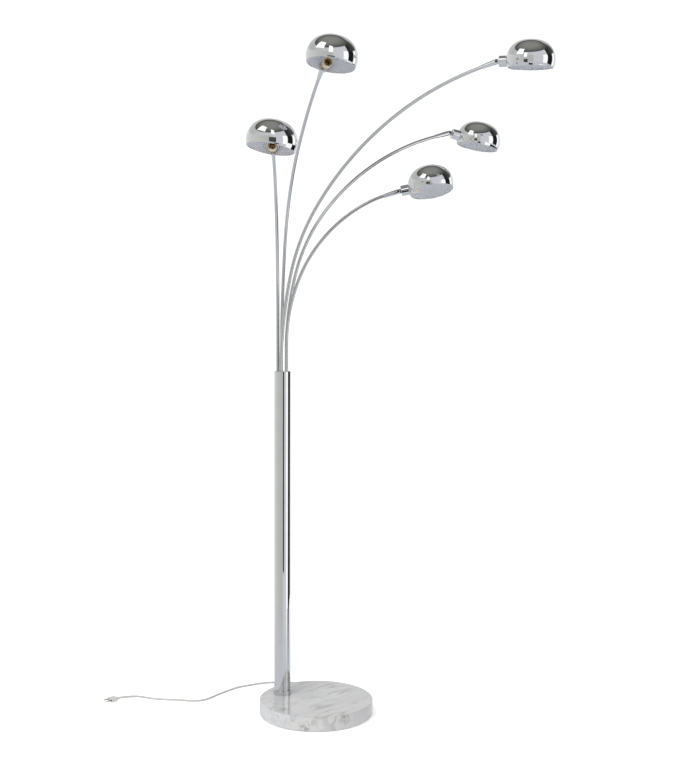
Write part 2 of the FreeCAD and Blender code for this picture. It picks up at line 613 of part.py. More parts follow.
    # Shade: crown, shoulder and lower arcs, the inside parallel to the outside.
    body = new_body(head + "shade_body")
    dome = new_sketch(body, "XZ_Plane", head + "dome")
    widest, crown, rim = dim("shade_widest"), dim("shade_crown"), dim("shade_rim")
    radius, rim_radius, shoulder = dim("shade_radius"), dim("shade_rim_radius"), dim("shade_shoulder")
    wall = dim("shade_wall")
    inward, rise, drop = radius - shoulder, crown - widest, widest - rim
    crown_radius = (inward ** 2 + rise ** 2 - shoulder ** 2) / (2 * (rise - shoulder))
    lower_radius = ((radius - rim_radius) ** 2 + drop ** 2) / (2 * (radius - rim_radius))
    crown_centre = Vector(0, crown - crown_radius, 0)
    shoulder_centre = Vector(inward, widest, 0)
    lower_centre = Vector(radius - lower_radius, widest, 0)
    join = math.atan2(shoulder_centre.y - crown_centre.y, shoulder_centre.x - crown_centre.x)
    rim_angle = math.atan2(rim - widest, rim_radius - lower_centre.x)
    inner_angle = math.atan2(rim - widest, math.sqrt((lower_radius - wall) ** 2 - drop ** 2))

    def arc(centre, size, low, high):
        return Part.ArcOfCircle(Part.Circle(centre, Vector(0, 0, 1), size), low, high)

    outer = [arc(crown_centre, crown_radius, join, math.pi / 2), arc(shoulder_centre, shoulder, 0, join),
             arc(lower_centre, lower_radius, rim_angle, 0)]
    inner = [arc(crown_centre, crown_radius - wall, join, math.pi / 2), arc(shoulder_centre, shoulder - wall, 0, join),
             arc(lower_centre, lower_radius - wall, inner_angle, 0)]
    for curve in outer + inner:
        dome.addGeometry(curve, False)
    inner_rim = lower_centre.x + math.sqrt((lower_radius - wall) ** 2 - drop ** 2)
    dome.addGeometry(Part.LineSegment(Vector(rim_radius, rim, 0), Vector(inner_rim, rim, 0)), False)
    dome.addGeometry(Part.LineSegment(Vector(0, crown, 0), Vector(0, crown - wall, 0)), False)
    for first in (0, 3):
        dome.addConstraint(Sketcher.Constraint("Tangent", first, 1, first + 1, 2))
        dome.addConstraint(Sketcher.Constraint("Tangent", first + 1, 1, first + 2, 2))
    for curve in range(3):
        dome.addConstraint(Sketcher.Constraint("Coincident", curve, 3, curve + 3, 3))
    dome.addConstraint(Sketcher.Constraint("Coincident", 2, 1, 6, 1))
    dome.addConstraint(Sketcher.Constraint("Coincident", 5, 1, 6, 2))
    dome.addConstraint(Sketcher.Constraint("Coincident", 0, 2, 7, 1))
    dome.addConstraint(Sketcher.Constraint("Coincident", 3, 2, 7, 2))
    dome.addConstraint(Sketcher.Constraint("PointOnObject", 0, 3, -2))
    dome.addConstraint(Sketcher.Constraint("Vertical", 7))
    dome.addConstraint(Sketcher.Constraint("Horizontal", 6))
    pin_point(dome, 0, 2, "0", "Dims.shade_crown")
    pin_point(dome, 2, 2, "Dims.shade_radius", "Dims.shade_widest")
    pin_point(dome, 2, 1, "Dims.shade_rim_radius", "Dims.shade_rim")
    for geometry, kind, size, expression in ((1, "Radius", shoulder, "Dims.shade_shoulder"),
                                             (7, "Distance", wall, "Dims.shade_wall")):
        row = dome.addConstraint(Sketcher.Constraint(kind, geometry, size))
        dome.setExpression("Constraints[%d]" % row, expression)
    row = dome.addConstraint(Sketcher.Constraint("DistanceY", -1, 1, 1, 3, widest))
    dome.setExpression("Constraints[%d]" % row, "Dims.shade_widest")
    revolve(body, dome, "V_Axis")
    hole = new_sketch(body, "YZ_Plane", head + "neck_hole")
    circles(hole, [("0", "0", "Dims.shade_hole_dia / 2")])
    pocket(body, hole)
    keep(head + "shade", body, head_place.multiply(Placement(Vector(dim("shade_reach"), 0, 0), Rotation())))

    holder = turned_piece(head + "holder_body", "XZ_Plane", "H_Axis", [
        ("Dims.holder_back", "0"), ("Dims.holder_back", "12"), ("Dims.holder_back + 8", "12"),
        ("Dims.holder_back + 8", "Dims.neck_dia / 2 - Dims.neck_wall - 0.1"),
        ("Dims.holder_back + 11", "Dims.neck_dia / 2 - Dims.neck_wall - 0.1"),
        ("Dims.holder_back + 11", "Dims.holder_radius"), ("Dims.holder_front - 1", "Dims.holder_radius"),
        ("Dims.holder_front", "Dims.holder_radius - 1"), ("Dims.holder_front", "Dims.holder_bore + 0.6"),
        ("Dims.holder_front - 0.6", "Dims.holder_bore"), ("Dims.shell_back - 0.1", "Dims.holder_bore"),
        ("Dims.shell_back - 0.1", "0")])
    keep(head + "holder", holder, head_place)
    shell = turned_piece(head + "shell_body", "XZ_Plane", "H_Axis", [
        ("Dims.shell_back", "0"), ("Dims.shell_back", "Dims.shell_radius"), ("Dims.shell_front", "Dims.shell_radius"),
        ("Dims.shell_front", "Dims.thread_radius"), ("Dims.shell_back + 2", "Dims.thread_radius"),
        ("Dims.shell_back + 2", "0")])
    keep(head + "contact", shell, head_place)

# ---------------------------------------------------------------------- cord
# The cord leaves the strain relief, turns into the stored coil behind the
# foot, comes out of the coil and lies on the floor up to its plug.
cord_radius = dim("cord_dia") / 2
exit_point = along_channel(dim("grommet_out"), level)
LEAD_ROUTE = [(-140.1, 145.8, 6.6), (-129.9, 169.7, 4), (-108.3, 184.2, 3), (-82.3, 184.5, 3)]
COIL_CENTRE = (-82.3, 221.5)
FLOOR_ROUTE = [(-88.7, 257.9, 3), (-140, 246, 3), (-190, 232, 3), (-237, 217, 3), (-276, 190, 3), (-303, 155, 3),
               (-328, 124, 3), (-342, 82, 3), (-354, 38, 3), (-362, -8, 3), (-374, -38, 3), (-402, -56, 3),
               (-445, -62, 3), (-490, -77, 3), (-535, -84, 3), (-578, -80, 3), (-606, -97, 4.5), (-622, -124, 7)]


def cord_node(node, points):
    path, radii = rounded_path([Vector(*p) for p in points])
    shape_node(node, tube_along(path, cord_radius))
    print(node, "length %.1f" % path.Length, "radii", " ".join("%.0f" % r for r in radii))
    return path.Length


lead_length = cord_node("cord_lead", [tuple(exit_point)] + LEAD_ROUTE)
floor_length = cord_node("cord_tube", FLOOR_ROUTE)

COIL_OUT = "(Dims.coil_radius + Dims.coil_width / 2)"
COIL_IN = "(Dims.coil_radius - Dims.coil_width / 2)"
coil = turned_piece("coil", "XZ_Plane", "V_Axis", [
    (COIL_IN, "1.5"), (COIL_IN + " + 1.5", "0"), (COIL_OUT + " - 1.5", "0"), (COIL_OUT, "1.5"),
    (COIL_OUT, "Dims.coil_height - 1.5"), (COIL_OUT + " - 1.5", "Dims.coil_height"),
    (COIL_IN + " + 1.5", "Dims.coil_height"), (COIL_IN, "Dims.coil_height - 1.5")])
keep("cord_coil", coil, Placement(Vector(*COIL_CENTRE, 0), Rotation()))

# Plug: tapered tail, flat body and two pins, in line with the cord's end.
last, before = Vector(*FLOOR_ROUTE[-1]), Vector(*FLOOR_ROUTE[-2])
plug_angle = math.degrees(math.atan2(last.y - before.y, last.x - before.x))
plug_place = Placement(Vector(last.x, last.y, dim("plug_thick") / 2), Rotation(Vector(0, 0, 1), plug_angle))
body = new_body("mains_plug_body")
outline = new_sketch(body, "XY_Plane", "mains_plug_outline")
polygon(outline, [("0", "-Dims.cord_dia / 2 - 0.8"), ("Dims.plug_relief", "-Dims.cord_dia / 2 - 2"),
                  ("Dims.plug_relief + 7", "-Dims.plug_width / 2"),
                  ("Dims.plug_relief + Dims.plug_length", "-Dims.plug_width / 2"),
                  ("Dims.plug_relief + Dims.plug_length", "Dims.plug_width / 2"),
                  ("Dims.plug_relief + 7", "Dims.plug_width / 2"),
                  ("Dims.plug_relief", "Dims.cord_dia / 2 + 2"), ("0", "Dims.cord_dia / 2 + 0.8")])
pad(body, outline, "Dims.plug_thick - 0.4", midplane=True)
side = new_sketch(body, "XZ_Plane", "mains_plug_taper")
polygon(side, [("-1", "Dims.cord_dia / 2 + 0.8"), ("Dims.plug_relief", "Dims.cord_dia / 2 + 1.6"),
               ("Dims.plug_relief + 9", "Dims.plug_thick / 2"), ("-1", "Dims.plug_thick / 2")])
pocket(body, side, None, midplane=True)
side = new_sketch(body, "XZ_Plane", "mains_plug_taper_below")
polygon(side, [("-1", "-Dims.cord_dia / 2 - 0.8"), ("Dims.plug_relief", "-Dims.cord_dia / 2 - 1.6"),
               ("Dims.plug_relief + 9", "-Dims.plug_thick / 2"), ("-1", "-Dims.plug_thick / 2")])
pocket(body, side, None, midplane=True)
keep("mains_plug", body, plug_place)
for node, side_sign in (("plug_pin_1", -1), ("plug_pin_2", 1)):
    pin = turned_piece(node + "_body", "XY_Plane", "H_Axis", [
        ("0", "0"), ("0", "Dims.pin_dia / 2"), ("Dims.pin_length - 1.2", "Dims.pin_dia / 2"),
        ("Dims.pin_length", "Dims.pin_dia / 2 - 1.2"), ("Dims.pin_length", "0")])
    away = Vector(value("Dims.plug_relief + Dims.plug_length"), side_sign * dim("pin_pitch") / 2, 0)
    keep(node, pin, plug_place.multiply(Placement(away, Rotation())))

# -------------------------------------------------------------------- output
doc.recompute()
problems = []
for obj in doc.Objects:
    if "Invalid" in obj.State or "Error" in obj.State:
        problems.append("%s: %s" % (obj.Name, obj.State))
for node, obj in nodes.items():
    shape = obj.Shape
    if shape.isNull() or not shape.isValid() or len(shape.Solids) != 1:
        problems.append("%s: null, not valid or not one solid" % node)
if problems:
    raise RuntimeError("; ".join(problems))

turns = 5 + 190 / 360
coil_length = turns * 2 * math.pi * dim("coil_radius")
print("cord length %.0f mm, of which coiled %.0f" % (lead_length + coil_length + floor_length, coil_length))
print("%d nodes" % len(nodes))
os.makedirs("parts", exist_ok=True)
for node, obj in nodes.items():
    obj.Shape.exportStep("parts/%s.step" % node)
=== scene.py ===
"""Looks of the arc floor lamp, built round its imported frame. Units are metres and degrees.

The lamp stands on the floor at the origin. "Studio" directions are given as seen
from the camera: right, away from it, and up.
"""
import json
from math import atan2, cos, pi, radians, sin

import bmesh
import bpy
from mathutils import Matrix, Vector


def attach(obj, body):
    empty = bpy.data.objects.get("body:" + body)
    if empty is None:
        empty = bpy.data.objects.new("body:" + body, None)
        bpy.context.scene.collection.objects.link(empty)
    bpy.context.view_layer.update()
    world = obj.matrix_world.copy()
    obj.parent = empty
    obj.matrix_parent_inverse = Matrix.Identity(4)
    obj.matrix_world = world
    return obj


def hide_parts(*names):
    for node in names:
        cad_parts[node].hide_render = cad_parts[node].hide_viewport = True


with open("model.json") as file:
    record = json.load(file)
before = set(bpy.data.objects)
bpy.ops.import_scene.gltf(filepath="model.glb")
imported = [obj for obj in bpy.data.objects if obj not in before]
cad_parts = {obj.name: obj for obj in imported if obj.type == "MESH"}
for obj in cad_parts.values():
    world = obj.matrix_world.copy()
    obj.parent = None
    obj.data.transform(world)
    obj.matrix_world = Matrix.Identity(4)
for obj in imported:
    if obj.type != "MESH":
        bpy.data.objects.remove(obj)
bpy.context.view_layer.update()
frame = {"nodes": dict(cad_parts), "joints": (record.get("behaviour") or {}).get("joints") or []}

nodes = frame["nodes"]
joints = {joint["name"]: joint for joint in frame["joints"]}
HEADS = (1, 2, 3, 4, 5)

# -------------------------------------------------------------------- camera
VIEW_AZIMUTH = 21.65
VIEW_DOWN = 6.60
VIEW_ROLL = 0.341
CAMERA_AT = Vector((1.7086, -4.0365, 1.5296))
CAMERA_LENS = 68.40

camera_data = bpy.data.cameras.new("camera")
camera_data.sensor_width = 36
camera_data.lens = CAMERA_LENS
camera = bpy.data.objects.new("camera", camera_data)
camera.matrix_world = (
    Matrix.Translation(CAMERA_AT)
    @ Matrix.Rotation(radians(VIEW_AZIMUTH), 4, "Z")
    @ Matrix.Rotation(radians(90 - VIEW_DOWN), 4, "X")
    @ Matrix.Rotation(radians(VIEW_ROLL), 4, "Z")
)
bpy.context.scene.collection.objects.link(camera)
bpy.context.scene.camera = camera
bpy.context.scene.view_settings.view_transform = "Standard"


def studio(right, away, up=0.0):
    """A place or direction as the camera's operator would say it, in the lamp's frame."""
    return Matrix.Rotation(radians(VIEW_AZIMUTH), 3, "Z") @ Vector((right, away, up))


# --------------------------------------------------------------- mesh helpers
def add_object(name, data):
    obj = bpy.data.objects.new(name, data)
    bpy.context.scene.collection.objects.link(obj)
    return obj


def piece_from(name, verts, faces, place, materials, face_slots=None, sharp=35):
    """Mesh piece with smooth faces and sharp corners, its place in its vertices."""
    mesh = bpy.data.meshes.new(name)
    mesh.from_pydata([place @ Vector(v) for v in verts], [], faces)
    for material in materials:
        mesh.materials.append(material)
    if face_slots:
        mesh.polygons.foreach_set("material_index", face_slots)
    build = bmesh.new()
    build.from_mesh(mesh)
    bmesh.ops.recalc_face_normals(build, faces=build.faces)
    build.to_mesh(mesh)
    build.free()
    mesh.shade_smooth()
    mesh.set_sharp_from_angle(angle=radians(sharp))
    return add_object(name, mesh)


def turned(name, outline, place, materials, segments=96, slot_of=None, radius_at=None):
    """Piece turned about its own X axis from a closed (along, radius) outline.

    radius_at(along, radius, angle) may change the radius, as for a thread.
    slot_of(along, radius) gives a face its material.
    """
    verts, faces, slots, rings = [], [], [], []
    for along, radius in outline:
        if radius < 1e-6:
            rings.append([len(verts)] * segments)
            verts.append((along, 0, 0))
            continue
        rings.append(list(range(len(verts), len(verts) + segments)))
        for step in range(segments):
            angle = 2 * pi * step / segments
            r = radius_at(along, radius, angle) if radius_at else radius
            verts.append((along, r * cos(angle), r * sin(angle)))
    for index, ring in enumerate(rings):
        other = rings[(index + 1) % len(rings)]
        middle = [(a + b) / 2 for a, b in zip(outline[index], outline[(index + 1) % len(rings)])]
        for step in range(segments):
            after = (step + 1) % segments
            corners = [ring[step], ring[after], other[after], other[step]]
            face = [v for i, v in enumerate(corners) if v not in corners[:i]]
            if len(face) > 2:
                faces.append(face)
                slots.append(slot_of(*middle) if slot_of else 0)
    return piece_from(name, verts, faces, place, materials, slots)


def arc(centre_x, centre_y, radius, first, last, steps):
    """Points of an arc, angles in degrees."""
    angles = [radians(first + (last - first) * i / steps) for i in range(steps + 1)]
    return [(centre_x + radius * cos(a), centre_y + radius * sin(a)) for a in angles]


def smooth_step(value, low, high):
    share = min(max((value - low) / (high - low), 0), 1)
    return share * share * (3 - 2 * share)


# ------------------------------------------------------------------ materials
class Finish:
    """A material with a Principled shader and short calls for its pattern nodes."""

    def __init__(self, name, color, roughness, metallic=0.0, ior=1.5):
        self.material = bpy.data.materials.new(name)
        self.material.use_nodes = True
        self.tree = self.material.node_tree
        self.shader = self.tree.nodes["Principled BSDF"]
        self.shader.inputs["Base Color"].default_value = (*color, 1)
        self.shader.inputs["Roughness"].default_value = roughness
        self.shader.inputs["Metallic"].default_value = metallic
        self.shader.inputs["IOR"].default_value = ior
        self.coords = self.add("ShaderNodeTexCoord").outputs["Object"]

    def add(self, kind, values=(), **links):
        """A node, its inputs by name: numbers from values, sockets from links."""
        node = self.tree.nodes.new(kind)
        for key, value in dict(values).items():
            if hasattr(node, key) and key not in node.inputs:
                setattr(node, key, value)
            else:
                node.inputs[key].default_value = value
        for key, socket in links.items():
            self.tree.links.new(socket, node.inputs[key.replace("_", " ")])
        return node

    def feed(self, socket, target):
        self.tree.links.new(socket, self.shader.inputs[target])

    def stretched(self, scale, turn=(0, 0, 0)):
        """Coordinates turned, then scaled by an amount for each axis."""
        rotation = [radians(angle) for angle in turn]
        turned_coords = self.add("ShaderNodeMapping", {"Rotation": rotation}, Vector=self.coords)
        return self.add("ShaderNodeMapping", {"Scale": scale}, Vector=turned_coords.outputs[0]).outputs[0]

    def noise(self, scale, detail=3.0, distortion=0.0, coords=None, roughness=0.5):
        values = {"Scale": scale, "Detail": detail, "Distortion": distortion, "Roughness": roughness}
        return self.add("ShaderNodeTexNoise", values, Vector=coords or self.coords).outputs["Fac"]

    def span(self, socket, low, high, to_low=0.0, to_high=1.0, smooth=False):
        """Maps low..high to to_low..to_high."""
        values = {"From Min": low, "From Max": high, "To Min": to_low, "To Max": to_high}
        if smooth:
            values["interpolation_type"] = "SMOOTHSTEP"
        return self.add("ShaderNodeMapRange", values, Value=socket).outputs[0]

    def math(self, operation, first, second=None):
        node = self.add("ShaderNodeMath", {"operation": operation})
        for index, value in enumerate((first, second)):
            if isinstance(value, (int, float)):
                node.inputs[index].default_value = value
            elif value is not None:
                self.tree.links.new(value, node.inputs[index])
        return node.outputs[0]

    def mix(self, factor, first, second):
        """Colour between two: each a colour or a socket."""
        node = self.add("ShaderNodeMix", {"data_type": "RGBA"})
        for index, value in ((0, factor), (6, first), (7, second)):
            if isinstance(value, (tuple, list)):
                node.inputs[index].default_value = (*value, 1)
            elif isinstance(value, (int, float)):
                node.inputs[index].default_value = value
            else:
                self.tree.links.new(value, node.inputs[index])
        return node.outputs[2]

    def bump(self, height, distance, strength=1.0):
        node = self.add("ShaderNodeBump", {"Distance": distance, "Strength": strength}, Height=height)
        self.feed(node.outputs[0], "Normal")


def chrome_finish(name, roughness, color=(0.66, 0.67, 0.685), ripple=0.000003):
    """Bright plate: finger smears in the gloss, hairline scratches, faint ripple."""
    finish = Finish(name, color, roughness, metallic=1.0)
    smears = finish.noise(22, detail=5, distortion=0.6)
    hairlines = finish.noise(60, detail=2, coords=finish.stretched((1, 14, 1), (20, 35, 50)))
    gloss = finish.math("ADD", finish.span(smears, 0.35, 0.75, roughness * 0.6, roughness * 1.9),
                        finish.span(hairlines, 0.66, 0.8, 0, 0.05))
    finish.feed(gloss, "Roughness")
    tint = finish.mix(finish.span(smears, 0.3, 0.8), color, [c * 0.95 for c in color])
    finish.feed(tint, "Base Color")
    finish.bump(finish.noise(35, detail=1), ripple)
    return finish.material


def metal_finish(name, color, roughness, grain):
    """Turned or cast metal: fine grain in colour, gloss and surface."""
    finish = Finish(name, color, roughness, metallic=1.0)
    fine = finish.noise(grain, detail=6)
    patches = finish.noise(70, detail=3)
    finish.feed(finish.mix(finish.span(patches, 0.3, 0.7), [c * 0.82 for c in color], color), "Base Color")
    finish.feed(finish.span(fine, 0.3, 0.7, roughness * 0.7, roughness * 1.4), "Roughness")
    finish.bump(fine, 0.00004)
    return finish.material


def moulded_finish(name, color, roughness, grain=900.0, dust=0.06, relief=0.00003):
    """Moulded plastic: fine texture, slight cloudiness, dust in patches."""
    finish = Finish(name, color, roughness, ior=1.48)
    clouds = finish.noise(45, detail=4)
    fine = finish.noise(grain, detail=3)
    shade = finish.mix(finish.span(clouds, 0.3, 0.7), [c * (1 - dust) for c in color], color)
    finish.feed(shade, "Base Color")
    finish.feed(finish.span(clouds, 0.25, 0.75, roughness * 0.8, roughness * 1.25), "Roughness")
    finish.bump(fine, relief)
    return finish.material


def felt_finish():
    finish = Finish("pressed_felt", (0.62, 0.61, 0.58), 0.95)
    fibres = finish.noise(1400, detail=4, distortion=1.5)
    tufts = finish.noise(160, detail=5)
    shade = finish.mix(finish.span(tufts, 0.3, 0.7), (0.50, 0.49, 0.46), (0.70, 0.69, 0.66))
    finish.feed(shade, "Base Color")
    finish.bump(finish.math("ADD", fibres, tufts), 0.0003)
    finish.shader.inputs["Sheen Weight"].default_value = 0.4
    return finish.material


MARBLE_WHITE = (0.53, 0.53, 0.54)
MARBLE_GREY = (0.31, 0.31, 0.325)
MARBLE_DARK = (0.16, 0.15, 0.145)
MARBLE_OCHRE = (0.50, 0.487, 0.45)
VEIN_HEADING = 45
VEIN_STRETCH = (0.22, 1.0, 0.8)
# Dark knots in the stone: right of the middle, away from the camera, level, size.
KNOTS = (
    (-0.030, -0.172, 0.016, 0.024), (0.088, -0.150, 0.034, 0.024), (-0.095, -0.105, 0.046, 0.022),
)


def marble_finish():
    """Polished white marble: long grey veins one way, fine cross veins, clouds and knots."""
    finish = Finish("polished_marble", MARBLE_WHITE, 0.12, ior=1.52)
    turn = (0, 0, -(VIEW_AZIMUTH + VEIN_HEADING))
    warp = finish.add("ShaderNodeTexNoise", {"Scale": 9.0, "Detail": 4.0}, Vector=finish.coords)
    pull = finish.add("ShaderNodeVectorMath", {"operation": "MULTIPLY_ADD"})
    finish.tree.links.new(warp.outputs["Color"], pull.inputs[0])
    pull.inputs[1].default_value = (0.05, 0.05, 0.05)
    finish.tree.links.new(finish.coords, pull.inputs[2])
    rotation = [radians(angle) for angle in turn]
    bent = finish.add("ShaderNodeMapping", {"Rotation": rotation}, Vector=pull.outputs[0])
    stretch = finish.add("ShaderNodeMapping", {"Scale": VEIN_STRETCH}, Vector=bent.outputs[0])
    long_way = stretch.outputs[0]

    def ridge(scale, width, coords, detail=2.0):
        """1 on thin lines where the noise crosses its middle, 0 elsewhere."""
        level = finish.noise(scale, detail=detail, coords=coords)
        away = finish.math("ABSOLUTE", finish.math("SUBTRACT", level, 0.5))
        return finish.span(away, 0.0, width, 1.0, 0.0, smooth=True)

    patches = finish.noise(11, detail=3)
    main = finish.math("MULTIPLY", ridge(16, 0.035, long_way), finish.span(patches, 0.38, 0.62, 0.15, 1.0))
    fine = finish.math("MULTIPLY", ridge(38, 0.03, long_way, 4.0), finish.span(patches, 0.3, 0.7, 0.6, 0.1))
    cross = finish.math("MULTIPLY", ridge(22, 0.02, pull.outputs[0], 5.0), 0.35)
    veins = finish.math("MAXIMUM", finish.math("MAXIMUM", main, fine), cross)
    clouds = finish.span(finish.noise(7, detail=6, coords=long_way), 0.42, 0.72, 0.0, 0.55)
    ochre_share = finish.span(finish.noise(5, detail=2), 0.5, 0.75, 0.0, 0.6)
    ground = finish.mix(ochre_share, MARBLE_WHITE, MARBLE_OCHRE)
    stone = finish.mix(clouds, ground, [(a + b) / 2 for a, b in zip(MARBLE_WHITE, MARBLE_GREY)])
    stone = finish.mix(finish.math("MULTIPLY", veins, 0.8), stone, MARBLE_GREY)
    speckle = finish.span(finish.noise(120, detail=5, distortion=1.0), 0.42, 0.62)
    for right, away, level, size in KNOTS:
        gap = finish.add("ShaderNodeVectorMath", {"operation": "DISTANCE"})
        finish.tree.links.new(finish.coords, gap.inputs[0])
        gap.inputs[1].default_value = studio(right, away, level)
        near = finish.span(gap.outputs["Value"], size * 0.25, size, 0.75, 0.0, smooth=True)
        stone = finish.mix(finish.math("MULTIPLY", near, speckle), stone, MARBLE_DARK)
    finish.feed(stone, "Base Color")
    finish.feed(finish.span(finish.noise(30, detail=5), 0.3, 0.7, 0.07, 0.17), "Roughness")
    pores = finish.noise(420, detail=3)
    finish.bump(finish.math("ADD", pores, finish.math("MULTIPLY", veins, -1.5)), 0.00002)
    finish.shader.inputs["Coat Weight"].default_value = 0.3
    finish.shader.inputs["Coat Roughness"].default_value = 0.05
    return finish.material


CREAM = (0.68, 0.60, 0.47)
chrome = chrome_finish("chrome_plate", 0.035)
chrome_tube = chrome_finish("chrome_tube", 0.10, (0.59, 0.595, 0.61), ripple=0.0000005)
# Inside of the shades: an even pale bluish-grey satin whose colour is a painted reflection of the floor,
# used in place of the plated inside's mirror image of it.
inside_painted_floor_reflection = moulded_finish("inside_painted_floor_reflection", (0.79, 0.80, 0.835), 0.4, dust=0.03, relief=0.000002)
steel = metal_finish("turned_steel", (0.42, 0.42, 0.43), 0.35, 600)
zinc = metal_finish("cast_zinc", (0.50, 0.50, 0.51), 0.45, 350)
brass = metal_finish("rolled_brass", (0.62, 0.40, 0.18), 0.28, 500)
nickel = metal_finish("nickel_plate", (0.62, 0.60, 0.56), 0.2, 700)
black_oxide = metal_finish("black_oxide", (0.025, 0.025, 0.027), 0.42, 800)
cream_thermoset = moulded_finish("cream_thermoset", CREAM, 0.32)
cord_sheath = moulded_finish("cord_sheath", (0.47, 0.46, 0.445), 0.42)
plug_plastic = moulded_finish("plug_plastic", (0.56, 0.55, 0.53), 0.5, grain=1500)
sleeve_plastic = moulded_finish("pin_sleeve", (0.10, 0.10, 0.10), 0.45)
terminal_plastic = moulded_finish("terminal_plastic", (0.72, 0.71, 0.66), 0.5)
tie_plastic = moulded_finish("tie_plastic", (0.08, 0.08, 0.085), 0.4)
FINISHES = {
    "marble": marble_finish(), "felt": felt_finish(), "chrome": chrome, "steel": steel,
    "zinc": zinc, "screw": black_oxide, "holder": cream_thermoset, "brass": brass,
    "cord": cord_sheath, "terminal": terminal_plastic, "pins": nickel,
}
for name, node in nodes.items():
    slim = name.startswith("arm_") and name.endswith("_tube")
    slot = node.material_slots[0]
    slot.material = chrome_tube if slim else FINISHES[slot.material.name]

# ---------------------------------------------------------------------- cord
CORD_DIAMETER = 0.006
CORD_EXIT = (-0.13663, 0.12606, 0.0086)
# The stretch from the strain relief into the stored coil.
LEAD_ROUTE = [(-0.1401, 0.1458, 0.0066), (-0.1299, 0.1697, 0.004), (-0.1083, 0.1842, 0.003),
              (-0.0823, 0.1845, 0.003)]
COIL_CENTRE = (-0.0823, 0.2215)
COIL_LANES = (0.037, 0.031, 0.0256, 0.0256, 0.031, 0.037)
COIL_LEVELS = (0.003, 0.009)
COIL_STEPS = 16
COIL_POINTS = 90
# Share of a turn after which the cord moves to the next lane, and the turns at which it climbs.
LANE_CHANGE_FROM = 0.66
CLIMB_FROM, CLIMB_TO = 2.6, 2.88
# From the top of the coil down to the floor, then along it to the plug.
FLOOR_ROUTE = [(-0.118, 0.251, 0.0055), (-0.140, 0.246, 0.003),
               (-0.190, 0.232, 0.003), (-0.237, 0.217, 0.003), (-0.276, 0.190, 0.003),
               (-0.303, 0.155, 0.003), (-0.328, 0.124, 0.003), (-0.342, 0.082, 0.003),
               (-0.354, 0.038, 0.003), (-0.362, -0.008, 0.003),
               (-0.374, -0.038, 0.003), (-0.402, -0.056, 0.003), (-0.445, -0.062, 0.003),
               (-0.490, -0.077, 0.003), (-0.535, -0.084, 0.003), (-0.578, -0.080, 0.003),
               (-0.606, -0.097, 0.0045), (-0.622, -0.124, 0.007)]


def coil_point(index):
    """Turns beside each other on the floor going in, then on top of them going out."""
    turn, share = divmod(index / COIL_STEPS, 1)
    turn = int(turn)
    angle = radians(-90 + 360 * index / COIL_STEPS)
    following = COIL_LANES[min(turn + 1, len(COIL_LANES) - 1)]
    change_lane = smooth_step(share, LANE_CHANGE_FROM, 1.0)
    radius = COIL_LANES[turn] + (following - COIL_LANES[turn]) * change_lane
    climb = smooth_step(turn + share, CLIMB_FROM, CLIMB_TO)
    level = COIL_LEVELS[0] + (COIL_LEVELS[1] - COIL_LEVELS[0]) * climb
    return (COIL_CENTRE[0] + radius * cos(angle), COIL_CENTRE[1] + radius * sin(angle), level)


def make_cord():
    curve = bpy.data.curves.new("cord", "CURVE")
    curve.dimensions = "3D"
    curve.bevel_depth = CORD_DIAMETER / 2
    curve.bevel_resolution = 5
    curve.resolution_u = 10
    curve.use_fill_caps = True
    points = [CORD_EXIT] + LEAD_ROUTE + [coil_point(i) for i in range(1, COIL_POINTS)] + FLOOR_ROUTE
    spline = curve.splines.new("NURBS")
    spline.points.add(len(points) - 1)
    for target, point in zip(spline.points, points):
        target.co = (*point, 1)
    spline.order_u = 3
    spline.use_endpoint_u = True
    spline.use_smooth = True
    curve.materials.append(cord_sheath)
    return add_object("cord", curve)


cord = make_cord()


# --------------------------------------------------------- plug and its pins
def heading_frame(start, before):
    """+X along before -> start, at start, level."""
    along = Vector(start) - Vector(before)
    turn = Matrix.Rotation(atan2(along.y, along.x), 4, "Z")
    return Matrix.Translation(start) @ turn


PLUG_THICK = 0.014
PLUG_LENGTH = 0.036
PLUG_HALF_WIDTH = 0.013
TAIL_RADIUS = 0.0038
TAIL_LENGTH = 0.012
TAIL_RIB_PITCH, TAIL_RIB_DEPTH, TAIL_RIBS_TO = 0.003, 0.0005, 0.0115
GRIP_FROM, GRIP_TO = 0.010, 0.021
WAIST_DEPTH, WAIST_TO = 0.0013, 0.034
PIN_PITCH = 0.019
PIN_RADIUS = 0.002
PIN_LENGTH = 0.019
PIN_SLEEVE = 0.010
PIN_TIP = 0.0016
plug_end, plug_before = ((*point[:2], PLUG_THICK / 2) for point in (FLOOR_ROUTE[-1], FLOOR_ROUTE[-2]))
plug_place = heading_frame(plug_end, plug_before)


def plug_section(along):
    """Half width, half height and squareness of the plug at a place along it."""
    swell = smooth_step(along, GRIP_FROM, GRIP_TO)
    rib = TAIL_RIB_DEPTH * (sin(2 * pi * along / TAIL_RIB_PITCH) > 0) * (along < TAIL_RIBS_TO)
    width = TAIL_RADIUS + 0.0012 * along / TAIL_LENGTH + (PLUG_HALF_WIDTH - 0.005) * swell - rib
    height = TAIL_RADIUS + 0.0006 * along / TAIL_LENGTH + (PLUG_THICK / 2 - 0.0046) * swell - rib
    waist = WAIST_DEPTH * sin(pi * smooth_step(along, GRIP_TO, WAIST_TO))
    end = 1 - 0.10 * smooth_step(along, PLUG_LENGTH - 0.0022, PLUG_LENGTH) ** 2
    return (width - waist) * end, min(height, PLUG_THICK / 2 - 0.0002) * end, 2 + 2.2 * swell


